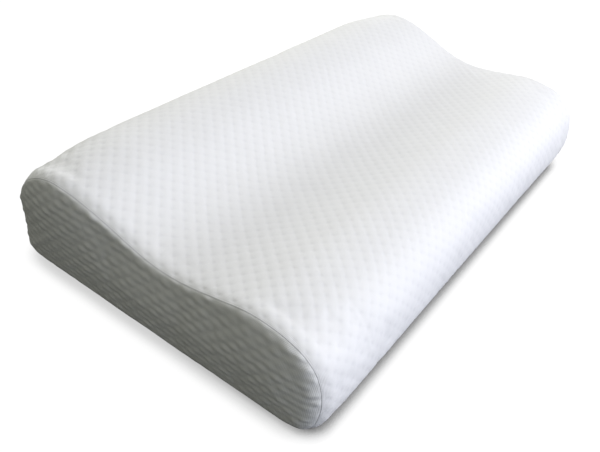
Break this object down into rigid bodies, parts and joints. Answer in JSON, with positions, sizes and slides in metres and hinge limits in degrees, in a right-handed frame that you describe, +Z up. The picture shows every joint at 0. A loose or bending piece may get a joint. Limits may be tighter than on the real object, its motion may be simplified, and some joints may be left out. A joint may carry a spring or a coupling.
{
  "type": "bed pillow",
  "caption": "Contour bed pillow: wave-shaped foam core with a high rear lobe and a lower front lobe, in a zipped knitted cover with end panels.",
  "frame": {"origin": "centre of the pillow's underside, on the surface it lies on", "axes": "+X along the pillow's length, +Y from the low front lobe towards the high rear lobe with the zipper, +Z up"},
  "size_m": [0.601, 0.3369, 0.112],
  "materials": {
    "foam": "open-cell viscoelastic foam, matt",
    "liner": "thin plain jersey, matt",
    "cover": "white double knit with a small lozenge relief, matt",
    "welt": "raised sewn seam in the cover's knit, matt",
    "tape": "white twill zipper tape",
    "thread": "white polyester sewing thread",
    "label": "blank white satin",
    "coil": "white nylon monofilament",
    "metal": "nickel-plated die-cast zipper parts"
  },
  "bodies": {
    "pillow": {"foam_core": "foam", "liner_wrap": "liner", "liner_end_left": "liner", "liner_end_right": "liner", "cover_wrap": "cover", "cover_end_left": "cover", "cover_end_right": "cover", "seam_welt_left": "welt", "seam_welt_right": "welt", "zipper_tape_upper": "tape", "zipper_tape_lower": "tape", "zipper_coil_upper": "coil", "zipper_coil_lower": "coil", "zipper_top_stop_upper": "metal", "zipper_top_stop_lower": "metal", "zipper_bottom_stop": "metal", "zipper_topstitch": "thread", "bar_tack_left": "thread", "bar_tack_right": "thread", "care_label": "label"},
    "slider": {"zipper_slider": "metal"},
    "pull_tab": {"zipper_pull_tab": "metal"}
  },
  "joints": [
    {"name": "zipper_slide", "type": "slide", "parent": "pillow", "child": "slider", "axis": [1, 0, 0], "range_m": [0, 0.443]},
    {"name": "pull_tab_swing", "type": "hinge", "parent": "slider", "child": "pull_tab", "pos_m": [-0.2215, 0.16745, 0.034], "axis": [0, 0, -1], "range_deg": [0, 180]}
  ]
}
